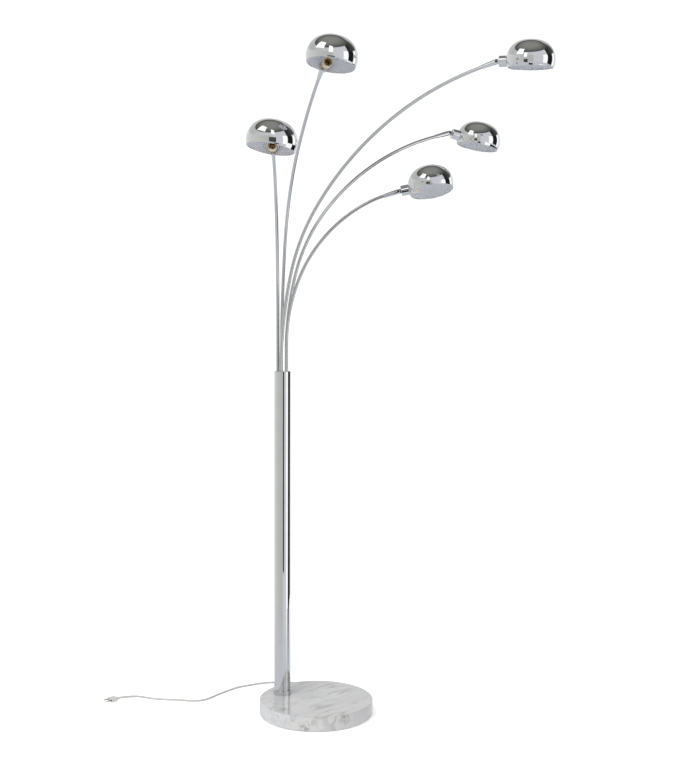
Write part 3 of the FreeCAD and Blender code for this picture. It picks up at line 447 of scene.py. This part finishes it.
def make_plug():
    """Moulded two-pin plug: ribbed tail, flat waisted grip, rounded edges."""
    stations, around = 61, 48
    verts, faces = [], []
    for station in range(stations):
        along = PLUG_LENGTH * station / (stations - 1)
        half_width, half_height, power = plug_section(along)
        for step in range(around):
            angle = 2 * pi * step / around
            c, s = cos(angle), sin(angle)
            y = half_width * abs(c) ** (2 / power) * (1 if c >= 0 else -1)
            z = half_height * abs(s) ** (2 / power) * (1 if s >= 0 else -1)
            verts.append((along, y, z))
    for station in range(stations - 1):
        for step in range(around):
            after = (step + 1) % around
            base = station * around
            faces.append((base + step, base + after, base + around + after, base + around + step))
    faces.append(list(range(around)))
    faces.append(list(range((stations - 1) * around, stations * around)))
    return piece_from("mains_plug_body", verts, faces, plug_place, [plug_plastic], sharp=50)


def make_pin(number, side):
    """Plug pin: insulating sleeve by the plug, bright rounded tip."""
    bare = PIN_RADIUS - 0.0001
    shoulder = PIN_LENGTH - PIN_TIP
    outline = [(-0.002, 0), (-0.002, PIN_RADIUS), (PIN_SLEEVE, PIN_RADIUS), (PIN_SLEEVE, bare),
               (shoulder, bare)]
    outline += [(shoulder + PIN_TIP * sin(a * pi / 12), bare * cos(a * pi / 12)) for a in range(1, 6)]
    outline.append((PIN_LENGTH, 0))
    place = plug_place @ Matrix.Translation((PLUG_LENGTH, side * PIN_PITCH / 2, 0))
    pin = turned("mains_pin_%d" % number, outline, place, [sleeve_plastic, nickel], 32,
                 slot_of=lambda along, radius: int(along > PIN_SLEEVE - 0.0001))
    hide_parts("plug_pin_%d" % number)
    return pin


plug = make_plug()
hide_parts("mains_plug")
pins = [make_pin(1, -1), make_pin(2, 1)]

# Strain relief: round in the foot's channel, ribbed and tapered towards its tip.
RELIEF_LENGTH = 0.028
RELIEF_STEM = 0.015
RELIEF_RADIUS, RELIEF_TIP_RADIUS = 0.0053, 0.0039
RELIEF_RIBS, RELIEF_GROOVE = 4, 0.0006
RELIEF_HEADING = 100
relief_heading = Vector((cos(radians(RELIEF_HEADING)), sin(radians(RELIEF_HEADING)), 0))
relief_place = heading_frame(Vector(CORD_EXIT) - relief_heading * RELIEF_LENGTH,
                             Vector(CORD_EXIT) - relief_heading * 2 * RELIEF_LENGTH)


def relief_outline():
    """Stem, then a ribbed taper."""
    chamfer = 0.0004
    outline = [(0, 0.0032), (0, RELIEF_RADIUS - chamfer), (chamfer, RELIEF_RADIUS)]
    outline.append((RELIEF_STEM, RELIEF_RADIUS))
    taper = RELIEF_LENGTH - RELIEF_STEM
    steps = 32
    for i in range(1, steps + 1):
        share = i / steps
        wave = 0.5 - 0.5 * cos(2 * pi * share * RELIEF_RIBS)
        groove = RELIEF_GROOVE * wave * (share < 0.97)
        radius = RELIEF_RADIUS - (RELIEF_RADIUS - RELIEF_TIP_RADIUS) * share - groove
        outline.append((RELIEF_STEM + taper * share, radius))
    outline.append((RELIEF_LENGTH, 0.0031))
    return outline


relief = turned("strain_relief", relief_outline(), relief_place, [cord_sheath], 48)
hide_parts("cord_grommet")


TIE_ANGLE = 205
TIE_MIDDLE_RADIUS, TIE_MIDDLE_LEVEL = 0.031, 0.0062


def make_tie():
    """Flat strap round the coil's section, kept above the floor."""
    angle = radians(TIE_ANGLE)
    radial = Vector((cos(angle), sin(angle), 0))
    across = Vector((-sin(angle), cos(angle), 0))
    middle = Vector((*COIL_CENTRE, TIE_MIDDLE_LEVEL)) + radial * TIE_MIDDLE_RADIUS
    half_wide, half_high, corner, strap, half_width = 0.0093, 0.0059, 0.0028, 0.0003, 0.0022
    loop = []
    for x, z, first in ((1, 1, 0), (-1, 1, 90), (-1, -1, 180), (1, -1, 270)):
        loop += arc(x * (half_wide - corner), z * (half_high - corner), corner, first, first + 90, 6)
    verts, faces = [], []
    for x, z in loop:
        outward = Vector((x, z)).normalized() * strap
        for side in (-1, 1):
            for grow in (0, 1):
                spot = radial * (x + outward.x * grow) + Vector((0, 0, max(z + outward.y * grow, -0.0061)))
                verts.append(middle + spot + across * side * half_width)
    count = len(loop)
    for i in range(count):
        a, b = 4 * i, 4 * ((i + 1) % count)
        for p, q in ((0, 1), (1, 3), (3, 2), (2, 0)):
            faces.append((a + p, b + p, b + q, a + q))
    return piece_from("cord_tie", verts, faces, Matrix.Identity(4), [tie_plastic])


tie = make_tie()
for piece in (cord, plug, *pins, relief, tie):
    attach(piece, "stand")
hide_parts("cord_lead", "cord_coil", "cord_tube")

# --------------------------------------------------------------------- heads
# Turn of each shade about its neck's axis, as the lamp stands.
HEAD_ROLL = {1: -1, 2: -11.4, 3: -4, 4: -9.4, 5: -17.8}
SHADE_REACH = 0.098
SHADE_WALL = 0.001
SHADE_RADIUS, SHADE_WIDEST = 0.069, 0.002
SHADE_CROWN = 0.058
SHADE_RIM, SHADE_RIM_RADIUS = -0.020, 0.065
SHADE_SHOULDER = 0.054
BEAD_RADIUS = 0.0013
NECK_HOLE_RADIUS = 0.016
NECK_RADIUS = 0.0159
HOLDER_RADIUS = 0.0138
HOLDER_BACK, HOLDER_FRONT = 0.022, 0.060
SHELL_BACK, SHELL_FRONT = 0.037, 0.0575
SHELL_RADIUS = 0.0085
MOUTH_BACK, MOUTH_RADIUS = 0.0545, 0.0112
THREAD_PITCH = 0.002822
NUT_RADIUS, NUT_NOTCHES = 0.0190, 12
NUT_BACK, NUT_FRONT = 0.0312, 0.0352


def head_frame(number):
    """Tilt axis at the origin, +X along the neck, +Z towards the shade's crown."""
    along = Vector(joints["turn_%d" % number]["axis"]).normalized()
    side = Vector(joints["tilt_%d" % number]["axis"]).normalized()
    turn = Matrix((along, side, along.cross(side))).transposed().to_4x4()
    at = Matrix.Translation(joints["tilt_%d" % number]["pos_m"])
    return at @ turn @ Matrix.Rotation(radians(HEAD_ROLL[number]), 4, "X")


def dome_outline():
    """(level, radius) of the spun dome: outside down to a rolled bead, then back up inside."""
    inward = SHADE_RADIUS - SHADE_SHOULDER
    rise = SHADE_CROWN - SHADE_WIDEST
    drop = SHADE_WIDEST - SHADE_RIM
    crown_radius = (inward ** 2 + rise ** 2 - SHADE_SHOULDER ** 2) / (2 * (rise - SHADE_SHOULDER))
    crown_level = SHADE_CROWN - crown_radius
    tuck_in = SHADE_RADIUS - SHADE_RIM_RADIUS
    lower_radius = (tuck_in ** 2 + drop ** 2) / (2 * tuck_in)
    join = atan2(SHADE_WIDEST - crown_level, inward) * 180 / pi
    tuck = atan2(-drop, SHADE_RIM_RADIUS - (SHADE_RADIUS - lower_radius)) * 180 / pi

    def skin(wall):
        """Crown, shoulder and lower arc as (radius, level), set in by the wall."""
        points = arc(0, crown_level, crown_radius - wall, 90, join, 22)
        points += arc(inward, SHADE_WIDEST, SHADE_SHOULDER - wall, join, 0, 30)[1:]
        return points + arc(SHADE_RADIUS - lower_radius, SHADE_WIDEST, lower_radius - wall, 0, tuck, 14)[1:]

    outside = skin(0)
    inside = skin(SHADE_WALL)
    bead = arc(SHADE_RIM_RADIUS - BEAD_RADIUS, SHADE_RIM + BEAD_RADIUS * 0.6, BEAD_RADIUS, 0, -190, 16)
    cut_outside = [p for p in outside if p[1] > SHADE_RIM + BEAD_RADIUS]
    cut_inside = [p for p in inside if p[1] > SHADE_RIM + BEAD_RADIUS * 1.6]
    loop = cut_outside + bead + cut_inside[::-1]
    return [(level, radius if radius > 1e-5 else 0.0) for radius, level in loop]


DOME = dome_outline()


def is_inside(level, radius):
    """Material 1 inside the dome, 0 outside, judged at the middle of a face's row."""
    rows = zip(DOME, DOME[1:])
    order = [i for i, (a, b) in enumerate(rows)
             if abs((a[0] + b[0]) / 2 - level) < 1e-7 and abs((a[1] + b[1]) / 2 - radius) < 1e-7]
    return int(bool(order) and order[0] > len(DOME) * 0.55)


def make_shade(number, place):
    """Spun dome with a rolled rim, the neck's hole cut through its wall."""
    centre = place @ Matrix.Translation((SHADE_REACH, 0, 0))
    upright = centre @ Matrix.Rotation(-pi / 2, 4, "Y")
    dome = turned("shade_%d" % number, DOME, upright, [chrome, inside_painted_floor_reflection], 144, slot_of=is_inside)
    start = centre @ Matrix.Translation((-SHADE_RADIUS - 0.01, 0, 0))
    hole = [(0, 0), (0, NECK_HOLE_RADIUS), (0.03, NECK_HOLE_RADIUS), (0.03, 0)]
    cutter = turned("cutter", hole, start, [chrome])
    cut = dome.modifiers.new("neck_hole", "BOOLEAN")
    cut.operation = "DIFFERENCE"
    cut.object = cutter
    evaluated = dome.evaluated_get(bpy.context.evaluated_depsgraph_get())
    mesh = bpy.data.meshes.new_from_object(evaluated)
    dome.modifiers.clear()
    dome.data = mesh
    mesh.shade_smooth()
    mesh.set_sharp_from_angle(angle=radians(35))
    bpy.data.objects.remove(cutter)
    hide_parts("head_%d_shade" % number)
    return dome


def thread(first, last, pitch, depth):
    """Helical groove between two places along the axis."""
    def radius_at(along, radius, angle):
        wave = 0.5 - 0.5 * cos(2 * pi * along / pitch - angle)
        fade = smooth_step(along, first, first + pitch) * (1 - smooth_step(along, last - pitch, last))
        return radius - depth * wave * fade
    return radius_at


def evenly(first, last, radius, step=0.00035):
    """Closely spaced outline points along one radius."""
    count = max(2, round(abs(last - first) / step))
    return [(first + (last - first) * i / count, radius) for i in range(count + 1)]


def make_holder(number, place):
    """Lamp holder: collar in the neck, threaded skirt, rounded mouth."""
    flange = HOLDER_BACK + 0.008
    neck_inside = NECK_RADIUS - 0.0016
    outline = [(HOLDER_BACK, 0), (HOLDER_BACK, 0.0115), (HOLDER_BACK + 0.0005, 0.012), (flange, 0.012),
               (flange, neck_inside), (flange + 0.003, neck_inside), (flange + 0.003, HOLDER_RADIUS)]
    outline += evenly(flange + 0.004, HOLDER_FRONT - 0.0045, HOLDER_RADIUS)
    outline += arc(HOLDER_FRONT - 0.001, HOLDER_RADIUS - 0.001, 0.001, 90, 0, 5)
    outline += arc(HOLDER_FRONT - 0.0008, MOUTH_RADIUS + 0.0008, 0.0008, 0, -90, 5)
    outline += [(MOUTH_BACK, MOUTH_RADIUS), (MOUTH_BACK, SHELL_RADIUS + 0.00005)]
    outline += [(SHELL_BACK - 0.0001, SHELL_RADIUS + 0.00005), (SHELL_BACK - 0.0001, 0)]
    skirt_thread = thread(flange + 0.006, HOLDER_FRONT - 0.006, 0.0023, 0.0006)

    def radius_at(along, radius, angle):
        return skirt_thread(along, radius, angle) if radius > HOLDER_RADIUS - 1e-6 else radius

    holder = turned("lamp_holder_%d" % number, outline, place, [cream_thermoset], 72, radius_at=radius_at)
    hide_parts("head_%d_holder" % number)
    return holder


def make_contact(number, place):
    """Rolled thread shell with its flared lip, and the base that carries the centre contact."""
    wall = 0.0004
    outline = [(SHELL_BACK, 0), (SHELL_BACK, SHELL_RADIUS - 0.0008)]
    outline += evenly(SHELL_BACK + 0.0008, SHELL_FRONT - 0.001, SHELL_RADIUS - 0.0004)
    outline += [(SHELL_FRONT, SHELL_RADIUS), (SHELL_FRONT, SHELL_RADIUS - wall)]
    outline += evenly(SHELL_FRONT - 0.001, SHELL_BACK + 0.002, SHELL_RADIUS - 0.0004 - wall)
    outline += [(SHELL_BACK + 0.0016, SHELL_RADIUS - 0.0014), (SHELL_BACK + 0.0016, 0)]
    rolled = thread(SHELL_BACK + 0.001, SHELL_FRONT - 0.0006, THREAD_PITCH, 0.0010)

    def radius_at(along, radius, angle):
        return rolled(along, radius, angle) if radius > SHELL_RADIUS - 0.0012 else radius

    shell = turned("thread_shell_%d" % number, outline, place, [brass], 72, radius_at=radius_at)
    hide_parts("head_%d_contact" % number)
    return shell


def make_tongue(number, place):
    """Centre contact: a bent spring strip standing off the shell's base."""
    profile = [(0.0388, -0.0052), (0.0391, -0.0030), (0.0404, -0.0012), (0.0417, 0.0), (0.0420, 0.0012),
               (0.0412, 0.0022)]
    half_width, thick = 0.0021, 0.0003
    verts = [(x + dx, y, z) for x, z in profile for y in (-half_width, half_width) for dx in (0, thick)]
    faces = [(0, 1, 3, 2)]
    for i in range(len(profile) - 1):
        a, b = 4 * i, 4 * i + 4
        for p, q in ((0, 1), (1, 3), (3, 2), (2, 0)):
            faces.append((a + p, a + q, b + q, b + p))
    last = 4 * (len(profile) - 1)
    faces.append((last, last + 2, last + 3, last + 1))
    tongue = piece_from("centre_contact_%d" % number, verts, faces, place, [brass], sharp=60)
    bevel = tongue.modifiers.new("edges", "BEVEL")
    bevel.width = 0.0001
    return tongue


def make_ring_nut(number, place):
    """Notched ring nut that clamps the dome on the neck from inside."""
    outer, inner = NUT_RADIUS, NECK_RADIUS + 0.00005
    low, high = NUT_BACK, NUT_FRONT
    outline = [(low, inner), (low, outer - 0.0006), (low + 0.0006, outer), (high - 0.0006, outer),
               (high, outer - 0.0006), (high, inner)]

    def notch(along, radius, angle):
        deep = (cos(NUT_NOTCHES * angle) > 0.80) * (radius > outer - 0.0008)
        return radius - 0.0008 * deep

    nut = turned("ring_nut_%d" % number, outline, place, [chrome], 144, radius_at=notch)
    return nut


for number in HEADS:
    place = head_frame(number)
    body = "head_%d" % number
    for make in (make_shade, make_holder, make_contact, make_tongue, make_ring_nut):
        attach(make(number, place), body)

# -------------------------------------------------------------------- studio
FLOOR_RADIUS = 1.45
FLOOR_GLOW = 0.42


def make_floor():
    """Pale round table top; its edge is lost against the white backdrop."""
    rings, around = 24, 96
    verts, faces = [(0, 0, 0)], []
    for ring in range(1, rings + 1):
        radius = FLOOR_RADIUS * ring / rings
        angles = [2 * pi * s / around for s in range(around)]
        verts += [(radius * cos(a), radius * sin(a), 0) for a in angles]
    for s in range(around):
        after = (s + 1) % around
        faces.append((0, 1 + s, 1 + after))
        for ring in range(rings - 1):
            a, b = 1 + ring * around, 1 + (ring + 1) * around
            faces.append((a + s, b + s, b + after, a + after))
    finish = Finish("pale_floor", (0.80, 0.80, 0.80), 0.9)
    finish.feed(finish.mix(finish.noise(3, detail=2), (0.80, 0.80, 0.80), (0.82, 0.82, 0.82)), "Base Color")
    finish.shader.inputs["Specular IOR Level"].default_value = 0.1
    finish.shader.inputs["Emission Color"].default_value = (1, 1, 1, 1)
    finish.shader.inputs["Emission Strength"].default_value = FLOOR_GLOW
    floor = piece_from("floor", verts, faces, Matrix.Identity(4), [finish.material])
    floor.visible_glossy = False


def card(name, first, last, low, high, brightness):
    """Upright card between two (right, away) places, seen only in reflections."""
    (r0, a0), (r1, a1) = first, last
    verts = [studio(r0, a0, low), studio(r1, a1, low), studio(r1, a1, high), studio(r0, a0, high)]
    mesh = bpy.data.meshes.new(name)
    mesh.from_pydata(verts, [], [(0, 1, 2, 3)])
    material = bpy.data.materials.new(name)
    material.use_nodes = True
    tree = material.node_tree
    tree.nodes.clear()
    glow = tree.nodes.new("ShaderNodeEmission")
    glow.inputs["Color"].default_value = (1, 1, 1, 1)
    glow.inputs["Strength"].default_value = brightness
    output = tree.nodes.new("ShaderNodeOutputMaterial")
    tree.links.new(glow.outputs[0], output.inputs[0])
    mesh.materials.append(material)
    board = add_object(name, mesh)
    board.visible_camera = False
    board.visible_diffuse = False
    board.visible_transmission = False
    board.visible_shadow = False


def soft_light(name, kind, place, target, power, **settings):
    """Lamp at a studio place, facing a studio point, unseen by the camera and in gloss."""
    light = bpy.data.lights.new(name, kind)
    light.energy = power
    for key, value in settings.items():
        setattr(light, key, value)
    lamp = add_object(name, light)
    lamp.location = studio(*place)
    heading = studio(*target) - studio(*place)
    lamp.rotation_euler = heading.to_track_quat("-Z", "Y").to_euler()
    lamp.visible_glossy = False
    lamp.visible_camera = False
    return lamp


def make_world():
    """What the chrome shows: two rows of pale walls, a dark gap on the right, floor and ceiling.

    The camera itself sees plain white.
    """
    world = bpy.data.worlds.new("studio")
    bpy.context.scene.world = world
    world.use_nodes = True
    tree = world.node_tree
    tree.nodes.clear()

    def add(kind, **settings):
        node = tree.nodes.new(kind)
        for key, value in settings.items():
            setattr(node, key, value)
        return node

    def math_node(operation, first, second):
        node = add("ShaderNodeMath", operation=operation)
        for index, value in enumerate((first, second)):
            if isinstance(value, (int, float)):
                node.inputs[index].default_value = value
            else:
                tree.links.new(value, node.inputs[index])
        return node.outputs[0]

    def mix(factor, first, second):
        node = add("ShaderNodeMix", data_type="RGBA")
        for index, value in ((0, factor), (6, first), (7, second)):
            if isinstance(value, tuple):
                node.inputs[index].default_value = (*value, 1)
            else:
                tree.links.new(value, node.inputs[index])
        return node.outputs[2]

    def edge(value, low, high):
        node = add("ShaderNodeMapRange", interpolation_type="SMOOTHSTEP")
        node.inputs["From Min"].default_value = low
        node.inputs["From Max"].default_value = high
        tree.links.new(value, node.inputs["Value"])
        return node.outputs[0]

    direction = add("ShaderNodeTexCoord").outputs["Generated"]
    turn = add("ShaderNodeVectorRotate", rotation_type="Z_AXIS")
    turn.inputs["Angle"].default_value = -radians(VIEW_AZIMUTH)
    tree.links.new(direction, turn.inputs["Vector"])
    split = add("ShaderNodeSeparateXYZ")
    tree.links.new(turn.outputs[0], split.inputs[0])
    right, away, up = split.outputs

    round_way = math_node("ADD", math_node("DIVIDE", math_node("ARCTAN2", right, away), 2 * pi), 0.5)

    def walls(bands):
        """Bands round the horizon, by the angle from straight ahead to the right."""
        ramp = add("ShaderNodeValToRGB")
        stops = ramp.color_ramp.elements
        while len(stops) < len(bands):
            stops.new(0.5)
        for stop, (angle, color) in zip(stops, bands):
            stop.position = angle / 360 + 0.5
            stop.color = (*color, 1)
        tree.links.new(round_way, ramp.inputs[0])
        gain = add("ShaderNodeMix", data_type="RGBA", blend_type="MULTIPLY")
        gain.inputs[0].default_value = 1.0
        tree.links.new(ramp.outputs[0], gain.inputs[6])
        gain.inputs[7].default_value = (WALL_GAIN, WALL_GAIN, WALL_GAIN, 1)
        return gain.outputs[2]

    low, high = (sin(radians(angle)) for angle in UPPER_WALLS_FROM)
    room = mix(edge(up, low, high), walls(WALL_BANDS), walls(UPPER_BANDS))
    low, high = (sin(radians(angle)) for angle in FLOOR_FROM)
    floor_share = edge(math_node("MULTIPLY", up, -1.0), low, high)
    room = mix(floor_share, room, FLOOR_SEEN)

    # The dark ceiling is a cone whose axis leans away from the camera.
    axis = add("ShaderNodeVectorMath", operation="DOT_PRODUCT")
    lean, toward = radians(CEILING_LEAN), radians(CEILING_TOWARD)
    axis.inputs[1].default_value = (sin(lean) * sin(toward), sin(lean) * cos(toward), cos(lean))
    tree.links.new(turn.outputs[0], axis.inputs[0])
    near = axis.outputs["Value"]
    outer, inner = (cos(radians(CEILING_HALF + side * CEILING_BLUR)) for side in (1, -1))
    ceiling_share = edge(near, outer, inner)
    ceiling = mix(edge(near, cos(radians(CEILING_HALF)), 1.0), CEILING_EDGE, CEILING_MIDDLE)
    room = mix(ceiling_share, room, ceiling)

    seen = add("ShaderNodeLightPath").outputs["Is Camera Ray"]
    background = add("ShaderNodeBackground")
    tree.links.new(mix(seen, room, BACKDROP), background.inputs["Color"])
    output = add("ShaderNodeOutputWorld")
    tree.links.new(background.outputs[0], output.inputs[0])


BACKDROP = (1.1, 1.1, 1.1)
WALL_GAIN = 1.8
WHITE_CARD, GREY_WALL, BLACK_CARD = (0.86, 0.86, 0.87), (0.47, 0.47, 0.49), (0.01, 0.01, 0.01)
WALL_BANDS = (
    (-180, (0.36, 0.36, 0.34)), (-120, (0.41, 0.415, 0.39)), (-60, (0.50, 0.505, 0.49)),
    (45, (0.60, 0.60, 0.61)), (50, (0.30, 0.30, 0.30)), (56, WHITE_CARD), (68, WHITE_CARD),
    (73, BLACK_CARD), (102, BLACK_CARD),
    (105, WHITE_CARD), (126, WHITE_CARD), (129, GREY_WALL), (170, GREY_WALL),
    (178, (0.38, 0.385, 0.36)),
)
UPPER_BANDS = (
    (-180, (0.45, 0.46, 0.45)), (-120, (0.42, 0.43, 0.42)), (-75, (0.36, 0.37, 0.36)),
    (-35, (0.40, 0.41, 0.40)), (0, (0.42, 0.42, 0.43)), (35, (0.40, 0.40, 0.41)),
    (50, (0.06, 0.06, 0.06)), (104, BLACK_CARD), (108, GREY_WALL), (172, GREY_WALL),
)
UPPER_WALLS_FROM = (16.5, 19.5)
FLOOR_FROM = (14, 18.5)
FLOOR_SEEN = (0.76, 0.78, 0.82)
CEILING_HALF, CEILING_LEAN, CEILING_TOWARD, CEILING_BLUR = 50, 7, -150, 1.2
CEILING_EDGE, CEILING_MIDDLE = (0.11, 0.11, 0.10), (0.34, 0.34, 0.31)

make_floor()
make_world()
# Upright cards that the column shows as stripes: black and white to its right, a slim dark one
# by the camera, and a small dark one level with the heads. They end at the floor, so the foot of
# the column shows the floor and walls only.
COLUMN_RIGHT, COLUMN_AWAY = -0.106, 0.042
CARD_GAP = 1.25
SLIM_CARD_DISTANCE = 1.9
CARD_FOOT, CARD_TOP, SLIM_CARD_TOP = -0.02, 1.5, 1.3
BOARD_BRIGHTNESS = 1.7


def beside_column(angle, distance=None):
    """Place at an angle to the right of straight ahead, on the card line or at a distance."""
    reach = CARD_GAP / sin(radians(angle)) if distance is None else distance
    return COLUMN_RIGHT + reach * sin(radians(angle)), COLUMN_AWAY + reach * cos(radians(angle))


card("card_black", beside_column(57), beside_column(98), CARD_FOOT, CARD_TOP, 0.01)
card("card_white", beside_column(98), beside_column(128), CARD_FOOT, CARD_TOP, 1.45)
card("card_slim", beside_column(156, SLIM_CARD_DISTANCE), beside_column(173, SLIM_CARD_DISTANCE),
     CARD_FOOT, SLIM_CARD_TOP, 0.02)
card("card_dark", (-0.25, -1.3), (0.2, -1.3), 1.55, 1.88, 0.08)
# The two soft boxes light the lamp unseen. These boards are what the chrome shows of them.
card("board_key", (-1.45, -0.685), (-0.864, -1.70), 2.75, 4.3, BOARD_BRIGHTNESS)
card("board_second", (-0.115, -1.189), (0.115, -1.311), 2.1, 2.6, BOARD_BRIGHTNESS)
soft_light("key", "AREA", (-1.24, -1.17, 3.8), (0.3, -0.2, 1.9), 34,
           shape="RECTANGLE", size=0.95, size_y=0.95)
soft_light("second", "AREA", (0.0, -1.25, 2.34), (0.4, -0.3, 1.95), 2.5,
           shape="RECTANGLE", size=0.26, size_y=0.5)
soft_light("sky", "SUN", (-1.2, -1.6, 3.2), (0, 0, 0), 1.9, angle=radians(70))
